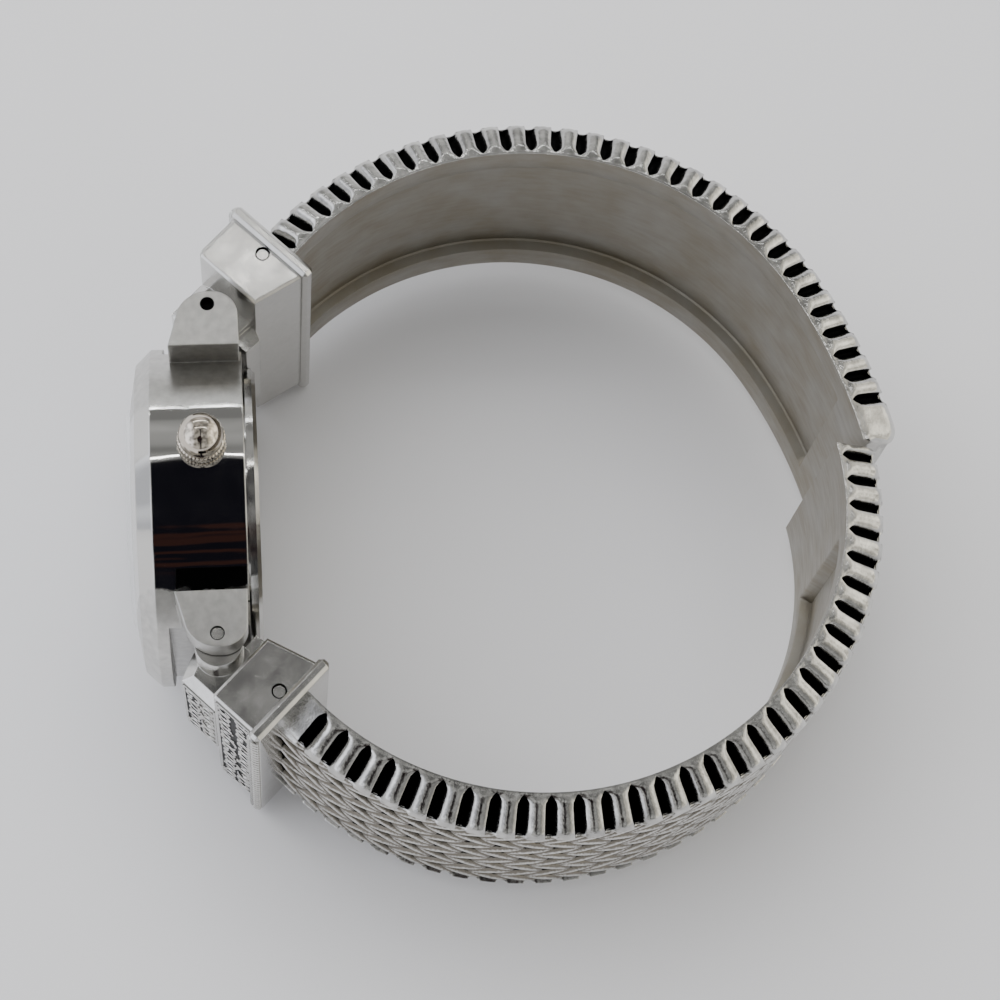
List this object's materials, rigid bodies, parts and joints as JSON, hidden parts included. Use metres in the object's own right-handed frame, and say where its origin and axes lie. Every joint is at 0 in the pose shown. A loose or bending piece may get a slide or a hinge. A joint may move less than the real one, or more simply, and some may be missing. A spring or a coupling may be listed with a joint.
{
  "type": "cuff wristwatch",
  "caption": "Round watch case hinged between two rigid curved bracelet halves with fluted rims and a plaited outer face.",
  "frame": {"origin": "on the floor, under the middle of the watch as it lies on its side with the crown uppermost", "axes": "+Z along the bracelet's own axis towards the crown side, -Y out of the dial, -X towards 12 o'clock and +X towards 6 o'clock"},
  "size_m": [0.059, 0.061, 0.0302],
  "materials": {
    "polished_steel": "polished silver-tone metal",
    "satin_steel": "satin",
    "mineral_glass": "clear, polished",
    "dial_lacquer": "silvered, satin",
    "plated_brass": "satin plated plate",
    "holder_plastic": "moulded white"
  },
  "bodies": {
    "case": {"case_body": "polished_steel", "crystal": "mineral_glass", "dial_ring": "satin_steel", "dial": "dial_lacquer", "hour_markers": "polished_steel", "movement": "plated_brass", "movement_holder": "holder_plastic", "battery": "satin_steel", "crown_tube": "polished_steel", "case_back": "polished_steel", "lug_pin_12": "satin_steel", "lug_pin_6": "satin_steel", "closing_spring_12": "satin_steel", "closing_spring_6": "satin_steel"},
    "half_12": {"end_link_12": "polished_steel", "cuff_pin_12": "satin_steel", "cuff_upper": "polished_steel"},
    "half_6": {"end_link_6": "polished_steel", "cuff_pin_6": "satin_steel", "cuff_lower": "polished_steel"},
    "crown_slider": {"winding_stem": "polished_steel"},
    "crown_knob": {"crown": "polished_steel"},
    "hour_wheel": {"hour_hand": "polished_steel"},
    "minute_wheel": {"minute_hand": "polished_steel"},
    "second_wheel": {"second_hand": "polished_steel"}
  },
  "joints": [
    {"name": "cuff_12_hinge", "type": "hinge", "parent": "case", "child": "half_12", "pos_m": [-0.01326, -0.02368, 0.0136], "axis": [0, 0, 1], "range_deg": [0, 28], "stiffness_Nm_per_rad": 0.05, "springref_deg": -17.19},
    {"name": "cuff_6_hinge", "type": "hinge", "parent": "case", "child": "half_6", "pos_m": [0.01326, -0.02368, 0.0136], "axis": [0, 0, -1], "range_deg": [0, 28], "stiffness_Nm_per_rad": 0.05, "springref_deg": -17.19},
    {"name": "crown_pull", "type": "slide", "parent": "case", "child": "crown_slider", "axis": [0, 0, 1], "range_m": [0, 0.001]},
    {"name": "crown_turn", "type": "hinge", "parent": "crown_slider", "child": "crown_knob", "pos_m": [-0.0018, -0.02443, 0.029], "axis": [0, 0, 1], "continuous": true},
    {"name": "second_hand_turn", "type": "hinge", "parent": "case", "child": "second_wheel", "pos_m": [0, -0.027, 0.0136], "axis": [0, 1, 0], "continuous": true},
    {"name": "minute_hand_turn", "type": "hinge", "parent": "case", "child": "minute_wheel", "pos_m": [0, -0.027, 0.0136], "axis": [0, 1, 0], "continuous": true},
    {"name": "hour_hand_turn", "type": "hinge", "parent": "case", "child": "hour_wheel", "pos_m": [0, -0.027, 0.0136], "axis": [0, 1, 0], "continuous": true}
  ],
  "couplings": [
    {"joint": "minute_hand_turn", "follows": "second_hand_turn", "ratio": 0.016667},
    {"joint": "hour_hand_turn", "follows": "second_hand_turn", "ratio": 0.0013889}
  ]
}
